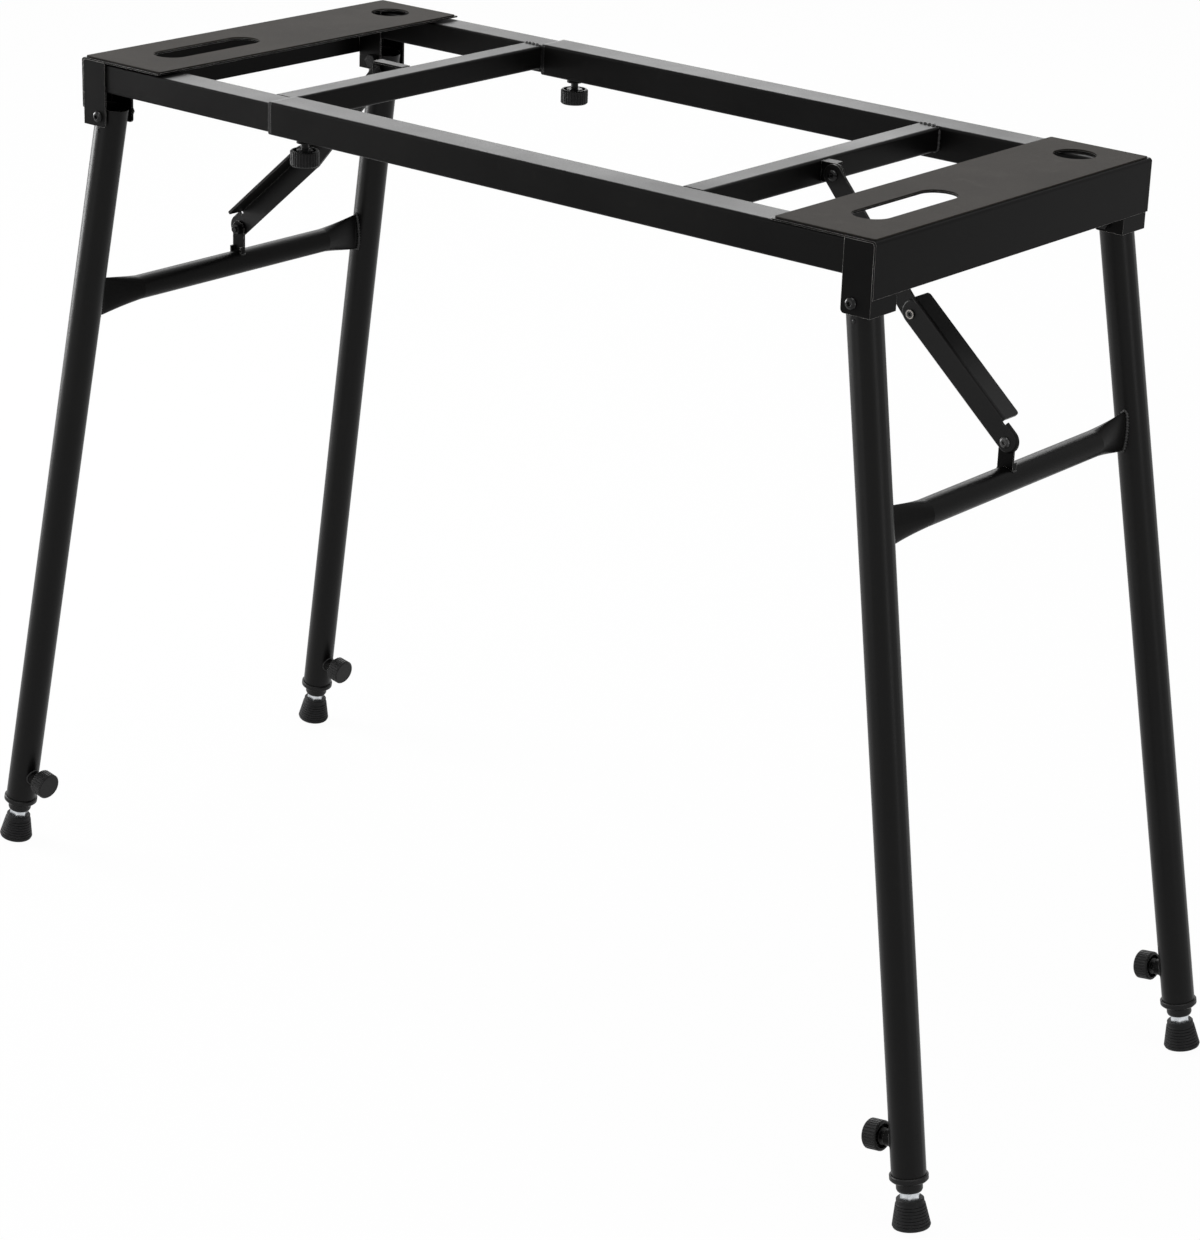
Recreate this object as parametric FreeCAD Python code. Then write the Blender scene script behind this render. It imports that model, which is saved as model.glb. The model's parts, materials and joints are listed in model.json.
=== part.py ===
"""Folding keyboard stand: a telescoping top frame on two folding, telescoping leg frames.

Millimetres, +Z up, X along the length of the stand, Y from front (-) to back (+).
The origin lies on the floor under the middle of the closed stand.
"""
import FreeCAD
import Part
import math
import os

Vector = FreeCAD.Vector

# Overall layout
stand_length = 768.4
stand_depth = 345.4
rail_top_height = 700.4
pivot_inset = 17.4
pivot_drop = 43.8
leg_splay_slope = 0.1684
leg_spread_slope = 0.0425
overrun = 20.0
sliding_gap = 0.3
hinge_gap = 0.08
thread_gap = 0.1

# Rails and cross members
rail_width = 30.0
rail_height = 25.4
rail_wall = 1.2
rail_corner = 2.2
rail_seam_inset = 209.2
inner_rail_gap = 0.3
inner_rail_tail_inset = 94.0
bushing_lip = 2.8
bushing_gap = 0.15
cross_width = 20.0
cross_height = 19.0
cross_wall = 1.2
right_cross_inset = 187.2
left_cross_gap = 0.5

# End plates and mats
plate_width = 86.6
plate_thickness = 1.2
plate_bend = 2.6
skirt_thickness = 1.5
skirt_height = 39.8
mat_thickness = 1.2
mat_margin = 2.4
mat_corner = 1.5
slot_length = 106.0
slot_width = 29.0
slot_setback = 94.7
hole_diameter = 32.0
hole_setback = 36.7

# Corner brackets
bracket_reach = 25.9
bracket_drop = 51.7
ear_wall = 1.5
end_wall = 1.2
bracket_corner = 3.0

# Legs
leg_diameter = 25.4
leg_wall = 1.2
leg_top_overlap = 6.0
inner_leg_diameter = 22.2
inner_leg_wall = 1.2
inner_leg_length = 420.0
collar_diameter = 28.3
collar_sleeve = 3.2
collar_lip = 1.8
collar_round = 1.3
plug_diameter = 19.3
plug_visible = 8.2
plug_insert = 30.0
plug_round = 2.0

# Levelling feet
foot_height = 22.3
foot_base_diameter = 28.0
foot_top_diameter = 20.2
foot_edge = 2.0
foot_rib_count = 7
foot_rib_pitch = 2.3
foot_rib_depth = 0.7
foot_shoulder = 0.6
nut_height = 5.0
nut_flats = 13.4
stud_diameter = 8.0
stud_in_plug = 24.0
stud_in_foot = 10.0

# Clamping knobs
knob_diameter = 22.4
knob_length = 12.0
knob_edge = 1.0
knob_rib_count = 30
knob_rib_depth = 0.6
knob_recess_depth = 4.0
knob_recess_wall = 2.2
knob_hub_diameter = 12.6
knob_bore_depth = 8.0
screw_diameter = 6.0
boss_diameter = 12.6
boss_height = 4.2
knob_stand_off = 3.6
rail_knob_stand_off = 5.4
leg_knob_height = 65.5
rail_knob_inset = 230.4

# Leg crossbar with flattened ends
crossbar_diameter = 20.0
crossbar_wall = 1.2
crossbar_height = 499.5
flat_height = 31.0
flat_thickness = 5.0
flat_length = 4.0
flat_transition = 39.0

# Folding brace
anchor_reach = 12.3
anchor_drop = 9.8
knee_offset = 7.8
foot_pin_rise = 28.7
brace_face = 11.0
link_thickness = 2.0
link_gap = 0.3
upper_link_width = 16.2
lower_link_inner_edge = 7.6
lower_link_outer_edge = 11.4
lower_link_flange = 19.0
flange_start = 7.0
flange_stop = 12.3
flange_notch = 3.2
flange_notch_depth = 3.6
flange_corner = 3.0
brace_bend = 2.2
anchor_wall = 1.6
anchor_flange = 9.0
anchor_round = 10.6
saddle_width = 13.0
saddle_wall = 1.6
saddle_flange = 5.0
saddle_top_radius = 6.5
saddle_flange_drop = 15.0
brace_pin_diameter = 5.0
brace_head_diameter = 8.4
brace_head_height = 2.0
brace_nut_height = 3.6
brace_nut_flats = 8.0
rivet_head_diameter = 7.2
rivet_bore = 2.6
rivet_head_height = 1.2

# Leg pivot bolts
pivot_diameter = 6.0
pivot_head_diameter = 9.0
pivot_head_height = 2.4
pivot_socket = 3.2
pivot_nut_flats = 10.0
pivot_nut_height = 4.0

# Shares of the size that each piece carries
dome_shares = ((0, 0), (1, 0), (1, 0.25), (0.86, 0.7), (0.6, 0.95), (0, 1))
socket_floor_share = 0.45
groove_shares = ((0.6, 0), (0.72, 1), (0.88, 1), (1, 0))
edge_share = 0.3
flat_side_share = 0.9
flat_tip_share = 0.82
anchor_end_share = 0.8
anchor_low_share = 0.62
bend_share = 0.9

# Worked out from the sizes above
half_length = stand_length / 2
half_depth = stand_depth / 2
rail_middle_y = half_depth - rail_width / 2
rail_bottom = rail_top_height - rail_height
bracket_bottom = rail_top_height - bracket_drop
bracket_inner_x = half_length - bracket_reach
skirt_inner_x = half_length - skirt_thickness
end_wall_inner_x = skirt_inner_x - end_wall
pivot_x = half_length - pivot_inset
pivot_z = rail_top_height - pivot_drop
seam_x = -(half_length - rail_seam_inset)
inner_rail_width = rail_width - 2 * (rail_wall + inner_rail_gap)
inner_rail_height = rail_height - 2 * (rail_wall + inner_rail_gap)
inner_rail_top = rail_top_height - rail_wall - inner_rail_gap
inner_rail_bottom = inner_rail_top - inner_rail_height
slope_length = math.sqrt(1 + leg_splay_slope ** 2 + leg_spread_slope ** 2)
leg_direction = Vector(leg_splay_slope, -leg_spread_slope, -1) / slope_length
leg_turn = FreeCAD.Rotation(Vector(0, 0, -1), leg_direction)
tilt_cosine = 1 / slope_length
tilt_sine = math.sqrt(1 - tilt_cosine ** 2)
foot_radius = foot_base_diameter / 2
foot_centre_z = (foot_radius - foot_edge) * tilt_sine + foot_edge * (1 - tilt_cosine)
foot_base_reach = (pivot_z - foot_centre_z) / tilt_cosine
foot_top_reach = foot_base_reach - foot_height
nut_top_reach = foot_top_reach - nut_height
plug_bottom_reach = nut_top_reach - thread_gap
collar_bottom_reach = plug_bottom_reach - plug_visible
leg_end_reach = collar_bottom_reach - collar_lip
leg_knob_reach = (pivot_z - leg_knob_height) / tilt_cosine
cross_left_x = seam_x - bushing_lip - left_cross_gap - cross_width
crossbar_x = pivot_x + leg_splay_slope * (pivot_z - crossbar_height)
crossbar_y = rail_middle_y + leg_spread_slope * (pivot_z - crossbar_height)
right_cross_outer_x = half_length - right_cross_inset + cross_width
anchor_x = right_cross_outer_x + anchor_reach
anchor_z = rail_top_height - anchor_drop
foot_pin_z = crossbar_height + foot_pin_rise
brace_span = math.hypot(crossbar_x - anchor_x, anchor_z - foot_pin_z)
link_length = math.hypot(brace_span / 2, knee_offset)
span_x = (crossbar_x - anchor_x) / brace_span
span_z = (foot_pin_z - anchor_z) / brace_span
knee_x = (anchor_x + crossbar_x) / 2 + span_z * knee_offset
knee_z = (anchor_z + foot_pin_z) / 2 - span_x * knee_offset


def box(low, high):
    """A block between two opposite corners."""
    size = high - low
    return Part.makeBox(size.x, size.y, size.z, low)


def rounded_section(width, height, corner):
    """Closed wire of a rounded rectangle about the origin of the YZ plane."""
    half_w = width / 2 - corner
    half_h = height / 2 - corner
    reach = corner * math.sqrt(0.5)
    edges = []
    corners = [(1, 1), (-1, 1), (-1, -1), (1, -1)]
    for index, (sign_y, sign_z) in enumerate(corners):
        centre = Vector(0, sign_y * half_w, sign_z * half_h)
        along_y = centre + Vector(0, sign_y * corner, 0)
        along_z = centre + Vector(0, 0, sign_z * corner)
        middle = centre + Vector(0, sign_y * reach, sign_z * reach)
        first, last = (along_y, along_z) if index % 2 == 0 else (along_z, along_y)
        edges.append(Part.Arc(first, middle, last).toShape())
        next_y, next_z = corners[(index + 1) % 4]
        if index % 2 == 0:
            following = Vector(0, next_y * half_w, next_z * (half_h + corner))
        else:
            following = Vector(0, next_y * (half_w + corner), next_z * half_h)
        edges.append(Part.makeLine(last, following))
    return Part.Wire(edges)


def box_tube(start, end, width, height, wall, corner):
    """Rectangular tube along X, centred on the line from start to end."""
    outer = Part.Face(rounded_section(width, height, corner))
    inner_corner = max(corner - wall, corner * edge_share)
    inner = Part.Face(rounded_section(width - 2 * wall, height - 2 * wall, inner_corner))
    section = outer.cut(inner)
    section.translate(start)
    return section.extrude(end - start)


def rod(start, direction, length, diameter):
    """Cylinder from a start point along a direction."""
    return Part.makeCylinder(diameter / 2, length, start, direction)


def hexagon(start, direction, length, flats):
    """Hexagonal prism from a start point along a direction."""
    radius = flats / math.sqrt(3)
    turn = FreeCAD.Rotation(Vector(0, 0, 1), direction)
    points = []
    for index in range(7):
        angle = math.radians(60 * index)
        local = Vector(radius * math.cos(angle), radius * math.sin(angle), 0)
        points.append(start + turn.multVec(local))
    return Part.Face(Part.makePolygon(points)).extrude(direction * length)


def revolve(profile, origin, direction):
    """Turn a closed profile of (radius, distance along the axis) points about an axis."""
    points = [Vector(radius, 0, along) for radius, along in profile]
    points.append(points[0])
    solid = Part.Face(Part.makePolygon(points)).revolve(Vector(0, 0, 0), Vector(0, 0, 1), 360)
    solid.Placement = FreeCAD.Placement(origin, FreeCAD.Rotation(Vector(0, 0, 1), direction))
    return solid


def mirror_x(shape):
    """The same piece at the other end of the stand."""
    return shape.mirror(Vector(0, 0, 0), Vector(1, 0, 0))


def mirror_y(shape):
    """The same piece at the other long side of the stand."""
    return shape.mirror(Vector(0, 0, 0), Vector(0, 1, 0))


def half_turn(shape):
    """The same piece turned by half a turn about the upright middle axis."""
    turned = shape.copy()
    turned.rotate(Vector(0, 0, 0), Vector(0, 0, 1), 180)
    return turned


def on_leg(shape):
    """Move a piece from the leg's own frame, pivot at zero and leg along -Z, to the front right leg."""
    moved = shape.copy()
    pivot = Vector(pivot_x, -rail_middle_y, pivot_z)
    moved.Placement = FreeCAD.Placement(pivot, leg_turn).multiply(moved.Placement)
    return moved


def rail_clamp_x():
    """Place of the rail clamping screws along the stand."""
    return -(half_length - rail_knob_inset)


def outer_rail():
    """Front outer rail with the hole for its clamping screw."""
    middle_z = rail_top_height - rail_height / 2
    start = Vector(seam_x, -rail_middle_y, middle_z)
    end = Vector(bracket_inner_x, -rail_middle_y, middle_z)
    tube = box_tube(start, end, rail_width, rail_height, rail_wall, rail_corner)
    low = Vector(rail_clamp_x(), -rail_middle_y, rail_bottom - rail_wall)
    return tube.cut(rod(low, Vector(0, 0, 1), 3 * rail_wall, screw_diameter + 2 * thread_gap))


def inner_rail():
    """Front inner rail that slides in the outer rail."""
    middle_z = inner_rail_top - inner_rail_height / 2
    start = Vector(-end_wall_inner_x, -rail_middle_y, middle_z)
    end = Vector(half_length - inner_rail_tail_inset, -rail_middle_y, middle_z)
    return box_tube(start, end, inner_rail_width, inner_rail_height, rail_wall, rail_corner - rail_wall / 2)


def rail_bushing():
    """Plastic lip that closes the open end of the front outer rail round the inner rail."""
    middle_z = rail_top_height - rail_height / 2
    start = Vector(seam_x - bushing_lip, -rail_middle_y, middle_z)
    outer = Part.Face(rounded_section(rail_width, rail_height, rail_corner))
    inner = Part.Face(rounded_section(
        inner_rail_width + 2 * bushing_gap, inner_rail_height + 2 * bushing_gap, rail_corner - rail_wall / 2))
    lip = outer.cut(inner)
    lip.translate(start)
    return lip.extrude(Vector(bushing_lip, 0, 0))


def cross_member(low_x, top, clear_half):
    """Square tube along Y between the two rails."""
    tube = box_tube(
        Vector(-clear_half, 0, 0), Vector(clear_half, 0, 0), cross_width, cross_height, cross_wall, rail_corner)
    tube.rotate(Vector(0, 0, 0), Vector(0, 0, 1), 90)
    tube.translate(Vector(low_x + cross_width / 2, 0, top - cross_height / 2))
    return tube


def plate_openings(low, high):
    """Hand slot and round hole of the right end plate, as solids between two heights."""
    middle_x = half_length - plate_width / 2
    radius = slot_width / 2
    slot_y = -half_depth + slot_setback
    straight = slot_length / 2 - radius
    height = high - low
    slot_low = Vector(middle_x - radius, slot_y - straight, low)
    slot_high = Vector(middle_x + radius, slot_y + straight, high)
    slot = box(slot_low, slot_high)
    for sign in (-1, 1):
        end = Part.makeCylinder(radius, height, Vector(middle_x, slot_y + sign * straight, low))
        slot = slot.fuse(end)
    hole_y = half_depth - hole_setback
    hole = Part.makeCylinder(hole_diameter / 2, height, Vector(middle_x, hole_y, low))
    return slot.removeSplitter().fuse(hole)


def end_plate():
    """Right end plate: a sheet on the rails with a deep skirt down its outer edge."""
    top = rail_top_height + plate_thickness
    inner_x = half_length - plate_width
    inner_bend = plate_bend - plate_thickness
    profile = [
        Vector(inner_x, -half_depth, rail_top_height),
        Vector(inner_x, -half_depth, top),
        Vector(half_length - plate_bend, -half_depth, top),
        Vector(half_length, -half_depth, top - plate_bend),
        Vector(half_length, -half_depth, top - skirt_height),
        Vector(skirt_inner_x, -half_depth, top - skirt_height),
        Vector(skirt_inner_x, -half_depth, rail_top_height - inner_bend),
        Vector(skirt_inner_x - inner_bend, -half_depth, rail_top_height),
    ]
    arc_share = 1 - math.sqrt(0.5)
    outer_cut = plate_bend * arc_share
    inner_cut = inner_bend * arc_share
    outer_middle = Vector(half_length - outer_cut, -half_depth, top - outer_cut)
    inner_middle = Vector(skirt_inner_x - inner_cut, -half_depth, rail_top_height - inner_cut)
    edges = []
    for index, point in enumerate(profile):
        following = profile[(index + 1) % len(profile)]
        if index == 2:
            edges.append(Part.Arc(point, outer_middle, following).toShape())
        elif index == 6:
            edges.append(Part.Arc(point, inner_middle, following).toShape())
        else:
            edges.append(Part.makeLine(point, following))
    sheet = Part.Face(Part.Wire(edges)).extrude(Vector(0, stand_depth, 0))
    return sheet.cut(plate_openings(rail_top_height - overrun, top + overrun))


def mat():
    """Anti-slip mat on the right end plate, with the same openings."""
    bottom = rail_top_height + plate_thickness
    low = Vector(half_length - plate_width + mat_margin / 4, -half_depth + mat_margin, bottom)
    high = Vector(half_length - mat_margin, half_depth - mat_margin, bottom + mat_thickness)
    pad = box(low, high)
    upright = [edge for edge in pad.Edges if abs(edge.tangentAt(edge.FirstParameter).z) > 0.9]
    pad = pad.makeFillet(mat_corner, upright)
    return pad.cut(plate_openings(bottom - overrun, bottom + overrun))


def edges_near(shape, x, z):
    """Edges whose middle lies at a given X and height."""
    chosen = []
    for edge in shape.Edges:
        middle = edge.CenterOfMass
        if abs(middle.x - x) < ear_wall and abs(middle.z - z) < ear_wall:
            chosen.append(edge)
    return chosen


def corner_bracket():
    """Front right corner bracket: two ears and an end wall round the top of the leg."""
    front_y = -half_depth
    back_y = front_y + rail_width
    outer_low = Vector(bracket_inner_x, front_y, bracket_bottom)
    outer = box(outer_low, Vector(skirt_inner_x, back_y, rail_top_height))
    inside = box(
        Vector(bracket_inner_x - overrun, front_y + ear_wall, bracket_bottom - overrun),
        Vector(end_wall_inner_x, back_y - ear_wall, rail_top_height + overrun))
    bend_corner = edges_near(outer, skirt_inner_x, rail_top_height)
    bevelled = outer.makeChamfer(plate_bend - plate_thickness, bend_corner)
    low_corner = edges_near(bevelled, bracket_inner_x, bracket_bottom)
    bracket = bevelled.makeFillet(bracket_corner, low_corner).cut(inside)
    start = Vector(pivot_x, front_y - overrun, pivot_z)
    return bracket.cut(rod(start, Vector(0, 1, 0), rail_width + 2 * overrun, pivot_diameter))


def domed_head(origin, direction, diameter, height, socket):
    """Low domed screw head with a socket, its flat side on the origin."""
    radius = diameter / 2
    profile = [(radius * across, height * up) for across, up in dome_shares]
    head = revolve(profile, origin, direction)
    socket_floor = origin + direction * (height * socket_floor_share)
    return head.cut(hexagon(socket_floor, direction, height, socket))


def pivot_bolt():
    """Front right leg pivot: domed head, shank through both ears, and a nut inside."""
    front_y = -half_depth
    back_y = front_y + rail_width
    start = Vector(pivot_x, front_y, pivot_z)
    inward = Vector(0, 1, 0)
    shank = rod(start, inward, rail_width + pivot_nut_height, pivot_diameter)
    head = domed_head(start, -inward, pivot_head_diameter, pivot_head_height, pivot_socket)
    nut = hexagon(Vector(pivot_x, back_y, pivot_z), inward, pivot_nut_height, pivot_nut_flats)
    return shank.fuse(head).fuse(nut)


def leg_tube():
    """Front right outer leg tube in the leg's own frame."""
    length = leg_top_overlap + leg_end_reach
    start = Vector(0, 0, -leg_end_reach)
    up = Vector(0, 0, 1)
    tube = rod(start, up, length, leg_diameter).cut(rod(start, up, length, leg_diameter - 2 * leg_wall))
    pivot_hole = rod(Vector(0, -overrun, 0), Vector(0, 1, 0), 2 * overrun, pivot_diameter + 2 * hinge_gap)
    upright = FreeCAD.Placement(Vector(0, 0, 0), leg_turn.inverted())
    pivot_hole.Placement = upright.multiply(pivot_hole.Placement)
    clamp = rod(
        Vector(0, 0, -leg_knob_reach), Vector(-1, 0, 0), leg_diameter, screw_diameter + 2 * thread_gap)
    return on_leg(tube.cut(pivot_hole).cut(clamp))


def leg_collar():
    """Plastic cap ring on the lower end of the front right outer leg tube."""
    outer = collar_diameter / 2
    tube = leg_diameter / 2
    bore = inner_leg_diameter / 2 + sliding_gap
    lip = -leg_end_reach - collar_lip
    end = -leg_end_reach
    profile = [
        (bore, lip), (outer - collar_round, lip), (outer, lip + collar_round),
        (outer, end + collar_sleeve - collar_round / 2), (outer - collar_round / 2, end + collar_sleeve),
        (tube, end + collar_sleeve), (tube, end), (bore, end)]
    return on_leg(revolve(profile, Vector(0, 0, 0), Vector(0, 0, 1)))


def leg_clamp_boss():
    """Threaded boss welded to the inner side of the front right leg tube."""
    tube = leg_diameter / 2
    start = Vector(-(tube - leg_wall), 0, -leg_knob_reach)
    inward = Vector(-1, 0, 0)
    boss = rod(start, inward, leg_wall + boss_height, boss_diameter)
    leg = rod(Vector(0, 0, -leg_knob_reach - boss_diameter), Vector(0, 0, 1), 2 * boss_diameter, leg_diameter)
    boss = boss.cut(leg)
    return on_leg(boss.cut(rod(start, inward, leg_diameter, screw_diameter + 2 * thread_gap)))


def knob(seat, outward, screw_tip, stand_off):
    """Ribbed clamping knob with its screw; seat is the face of the boss."""
    radius = knob_diameter / 2
    base = seat + outward * stand_off
    body = revolve(
        [(0, 0), (radius - knob_edge, 0), (radius, knob_edge), (radius, knob_length - knob_edge),
         (radius - knob_edge, knob_length), (0, knob_length)], base, outward)
    across = FreeCAD.Rotation(Vector(0, 0, 1), outward)
    rib_radius = math.pi * knob_diameter / knob_rib_count / 4
    for index in range(knob_rib_count):
        angle = 2 * math.pi * index / knob_rib_count
        distance = radius + rib_radius - knob_rib_depth
        local = Vector(distance * math.cos(angle), distance * math.sin(angle), 0)
        start = base + across.multVec(local) - outward * knob_edge
        body = body.cut(rod(start, outward, knob_length + 2 * knob_edge, 2 * rib_radius))
    recess = rod(base, outward, knob_recess_depth, knob_diameter - 2 * knob_recess_wall)
    hub = rod(base, outward, knob_recess_depth, knob_hub_diameter)
    body = body.cut(recess.cut(hub))
    body = body.cut(rod(base, outward, knob_bore_depth, screw_diameter))
    tip = seat - outward * screw_tip
    screw = rod(tip, outward, screw_tip + stand_off + knob_bore_depth, screw_diameter)
    return Part.makeCompound([body, screw])


def leg_knob():
    """Clamping knob of the front right leg."""
    inward = Vector(-1, 0, 0)
    seat = Vector(-(leg_diameter / 2 + boss_height), 0, -leg_knob_reach)
    tip = leg_diameter / 2 + boss_height - inner_leg_diameter / 2 - sliding_gap
    return on_leg(knob(seat, inward, tip, knob_stand_off))


def rail_boss():
    """Threaded boss welded under the front outer rail."""
    start = Vector(rail_clamp_x(), -rail_middle_y, rail_bottom)
    down = Vector(0, 0, -1)
    boss = rod(start, down, boss_height, boss_diameter)
    return boss.cut(rod(start, down, boss_height, screw_diameter + 2 * thread_gap))


def rail_knob():
    """Clamping knob under the front outer rail."""
    seat = Vector(rail_clamp_x(), -rail_middle_y, rail_bottom - boss_height)
    tip = boss_height + rail_wall
    return knob(seat, Vector(0, 0, -1), tip, rail_knob_stand_off)


def inner_leg():
    """Front right inner leg tube, fully pushed in."""
    end = Vector(0, 0, -collar_bottom_reach)
    up = Vector(0, 0, 1)
    outer = rod(end, up, inner_leg_length, inner_leg_diameter)
    return on_leg(outer.cut(rod(end, up, inner_leg_length, inner_leg_diameter - 2 * inner_leg_wall)))


def inner_leg_plug():
    """Threaded plastic plug in the lower end of the front right inner leg."""
    radius = plug_diameter / 2
    inside = inner_leg_diameter / 2 - inner_leg_wall
    bore = stud_diameter / 2 + thread_gap
    bottom = -plug_bottom_reach
    top = bottom + plug_visible
    profile = [
        (bore, bottom), (radius - plug_round, bottom),
        (radius - plug_round * edge_share, bottom + plug_round * edge_share),
        (radius, bottom + plug_round), (radius, top), (inside, top), (inside, top + plug_insert),
        (bore, top + plug_insert)]
    return on_leg(revolve(profile, Vector(0, 0, 0), Vector(0, 0, 1)))


def foot_screw():
    """Levelling screw of the front right foot, with its hexagon."""
    up = Vector(0, 0, 1)
    hexagon_bottom = Vector(0, 0, -foot_top_reach)
    head = hexagon(hexagon_bottom, up, nut_height, nut_flats)
    start = Vector(0, 0, -foot_top_reach - stud_in_foot)
    stud = rod(start, up, stud_in_foot + nut_height + stud_in_plug, stud_diameter)
    return on_leg(stud.fuse(head))


def foot_pad():
    """Ribbed rubber foot of the front right leg."""
    base = foot_radius
    top = foot_top_diameter / 2
    bottom = -foot_base_reach
    rib_zone = foot_rib_count * foot_rib_pitch
    slope = (base - top) / (foot_height - foot_edge)
    profile = [(0, bottom), (base - foot_edge, bottom)]
    profile.append((base - foot_edge * edge_share, bottom + foot_edge * edge_share))
    profile.append((base, bottom + foot_edge))
    for index in range(foot_rib_count):
        for along_share, depth_share in groove_shares:
            height = foot_edge + (index + along_share) * foot_rib_pitch
            radius = base - slope * (height - foot_edge) - foot_rib_depth * depth_share
            profile.append((radius, bottom + height))
    shoulder = foot_edge + rib_zone + foot_shoulder
    profile.append((base - slope * rib_zone - foot_shoulder, bottom + shoulder))
    profile.append((top, bottom + foot_height - foot_shoulder))
    profile.append((top - foot_shoulder, bottom + foot_height))
    profile.append((stud_diameter / 2, bottom + foot_height))
    profile.append((stud_diameter / 2, bottom + foot_height - stud_in_foot))
    profile.append((0, bottom + foot_height - stud_in_foot))
    return on_leg(revolve(profile, Vector(0, 0, 0), Vector(0, 0, 1)))


def round_outline(diameter, y):
    """Edges of the round part's outline: four quarter circles."""
    radius = diameter / 2
    blend = radius * math.sqrt(0.5)
    quarters = []
    for sign_x, sign_z in ((1, 1), (-1, 1), (-1, -1), (1, -1)):
        side = Vector(crossbar_x + sign_x * radius, y, crossbar_height)
        tip = Vector(crossbar_x, y, crossbar_height + sign_z * radius)
        middle = Vector(crossbar_x + sign_x * blend, y, crossbar_height + sign_z * blend)
        ends = (side, tip) if sign_x * sign_z > 0 else (tip, side)
        quarters.append(Part.Arc(ends[0], middle, ends[1]).toShape())
    return quarters


def crossbar_body(shrink):
    """Outline solid of the crossbar, made smaller all round by shrink."""
    round_size = crossbar_diameter - 2 * shrink
    wide = flat_thickness - 2 * shrink
    tall = flat_height - 2 * shrink
    seat_y = crossbar_y
    flat_y = crossbar_y - leg_diameter / 2 - flat_length
    round_y = flat_y - flat_transition
    middle = rod(Vector(crossbar_x, -round_y, crossbar_height), Vector(0, 1, 0), 2 * round_y, round_size)
    body = middle
    for sign in (-1, 1):
        round_wire = Part.Wire(round_outline(round_size, sign * round_y))
        flat_wire = Part.Wire(flat_outline(wide, tall, sign * flat_y))
        neck = Part.makeLoft([round_wire, flat_wire], True, True)
        flat_face = Part.Face(Part.Wire(flat_outline(wide, tall, sign * flat_y)))
        end = flat_face.extrude(Vector(0, sign * (seat_y - flat_y), 0))
        body = body.fuse(neck).fuse(end)
    return body


def flat_outline(wide, tall, y):
    """Edges of the flattened end: four arcs that bow between its side and its tips."""
    half_w = wide / 2
    half_h = tall / 2
    quarter = []
    for sign_x, sign_z in ((1, 1), (-1, 1), (-1, -1), (1, -1)):
        side = Vector(crossbar_x + sign_x * half_w, y, crossbar_height)
        tip = Vector(crossbar_x, y, crossbar_height + sign_z * half_h)
        middle_x = crossbar_x + sign_x * half_w * flat_side_share
        middle = Vector(middle_x, y, crossbar_height + sign_z * half_h * flat_tip_share)
        ends = (side, tip) if sign_x * sign_z > 0 else (tip, side)
        curve = Part.BSplineCurve([ends[0], middle, ends[1]], None, None, False, 2, None, False)
        quarter.append(curve.toShape())
    return quarter


def crossbar():
    """Tube between the two right legs, flattened where it meets them."""
    body = crossbar_body(0).cut(crossbar_body(crossbar_wall))
    leg = on_leg(rod(Vector(0, 0, -leg_end_reach), Vector(0, 0, 1), leg_end_reach, leg_diameter))
    return body.cut(leg).cut(mirror_y(leg))


def link_frame(start_x, start_z, end_x, end_z):
    """Placement with X along a link, Y towards the back and the start at zero."""
    along = Vector(end_x - start_x, 0, end_z - start_z).normalize()
    angle = -math.degrees(math.atan2(along.z, along.x))
    return FreeCAD.Placement(Vector(start_x, 0, start_z), FreeCAD.Rotation(Vector(0, 1, 0), angle))


def flat_bar(length, low, high, front_y, thickness, end_radius):
    """Flat bar along X from zero to length, with rounded ends, between two edge heights."""
    middle = (low + high) / 2
    bar = box(Vector(0, front_y, low), Vector(length, front_y + thickness, high))
    for x in (0, length):
        cap = Part.makeCylinder(end_radius, thickness, Vector(x, front_y, middle), Vector(0, 1, 0))
        bar = bar.fuse(cap)
    return bar.removeSplitter()


def upper_link():
    """Flat link from the anchor under the frame to the knee."""
    half = upper_link_width / 2
    front_y = -brace_face + link_thickness + link_gap
    bar = flat_bar(link_length, -half, half, front_y, link_thickness, half)
    for x in (0, link_length):
        start = Vector(x, front_y - link_gap, 0)
        bore = brace_pin_diameter + 2 * hinge_gap
        bar = bar.cut(rod(start, Vector(0, 1, 0), link_thickness + 2 * link_gap, bore))
    bar.Placement = link_frame(anchor_x, anchor_z, knee_x, knee_z)
    return bar


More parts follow.
